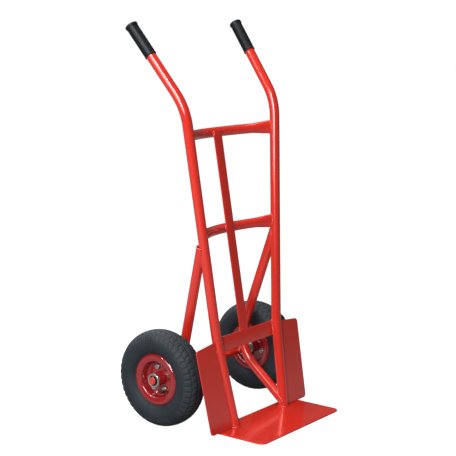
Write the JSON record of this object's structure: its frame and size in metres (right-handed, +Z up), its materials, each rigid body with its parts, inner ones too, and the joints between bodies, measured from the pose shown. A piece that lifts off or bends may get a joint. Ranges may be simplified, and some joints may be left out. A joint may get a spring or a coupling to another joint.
{
  "type": "hand truck",
  "caption": "Two-wheeled hand truck: tube frame with two curved crossbars, centre strut, flat toe plate, wheel guards and pneumatic wheels on a fixed axle.",
  "frame": {"origin": "on the floor, midway between the outermost points across and front to back", "axes": "+Z up; +X to the truck's right seen from behind the handles; -Y is the front, where the toe plate reaches out"},
  "size_m": [0.5, 0.442, 1.0637],
  "materials": {
    "frame": "gloss red powder coat",
    "rim": "gloss red enamel",
    "tyre": "matt black rubber with block tread",
    "inner_tube": "matt",
    "grip": "matt black vinyl",
    "zinc": "bright zinc plate",
    "bearing": "ground steel",
    "phosphate": "black phosphate",
    "brass": "turned brass",
    "valve_cap": "black"
  },
  "bodies": {
    "frame": {"axle": "frame", "centre_strut": "frame", "grip_left": "grip", "grip_right": "grip", "left_axle_spacer": "zinc", "left_inner_bearing_inner_race": "bearing", "left_outer_bearing_inner_race": "bearing", "left_retaining_ring": "phosphate", "lower_cross_plate": "frame", "middle_crossbar": "frame", "rear_brace_left": "bearing", "rear_brace_right": "bearing", "right_axle_spacer": "zinc", "right_inner_bearing_inner_race": "bearing", "right_outer_bearing_inner_race": "bearing", "right_retaining_ring": "phosphate", "side_tube_left": "frame", "side_tube_right": "frame", "toe_plate": "frame", "upper_crossbar": "frame", "wheel_guard_left": "frame", "wheel_guard_right": "frame"},
    "wheel_left": {"left_hub_tube": "rim", "left_inner_bearing_cap": "zinc", "left_inner_bearing_outer_race": "bearing", "left_inner_tube": "inner_tube", "left_outer_bearing_cap": "zinc", "left_outer_bearing_outer_race": "bearing", "left_rim_bolt_1": "zinc", "left_rim_bolt_2": "zinc", "left_rim_bolt_3": "zinc", "left_rim_bolt_4": "zinc", "left_rim_inner_half": "rim", "left_rim_nut_1": "zinc", "left_rim_nut_2": "zinc", "left_rim_nut_3": "zinc", "left_rim_nut_4": "zinc", "left_rim_outer_half": "rim", "left_tyre": "tyre", "left_valve_cap": "valve_cap", "left_valve_stem": "brass"},
    "wheel_right": {"right_hub_tube": "rim", "right_inner_bearing_cap": "zinc", "right_inner_bearing_outer_race": "bearing", "right_inner_tube": "inner_tube", "right_outer_bearing_cap": "zinc", "right_outer_bearing_outer_race": "bearing", "right_rim_bolt_1": "zinc", "right_rim_bolt_2": "zinc", "right_rim_bolt_3": "zinc", "right_rim_bolt_4": "zinc", "right_rim_inner_half": "rim", "right_rim_nut_1": "zinc", "right_rim_nut_2": "zinc", "right_rim_nut_3": "zinc", "right_rim_nut_4": "zinc", "right_rim_outer_half": "rim", "right_tyre": "tyre", "right_valve_cap": "valve_cap", "right_valve_stem": "brass"}
  },
  "joints": [
    {"name": "wheel_left_spin", "type": "hinge", "parent": "frame", "child": "wheel_left", "pos_m": [-0.2075, 0.091, 0.13], "axis": [1, 0, 0], "continuous": true},
    {"name": "wheel_right_spin", "type": "hinge", "parent": "frame", "child": "wheel_right", "pos_m": [0.2075, 0.091, 0.13], "axis": [1, 0, 0], "continuous": true}
  ]
}
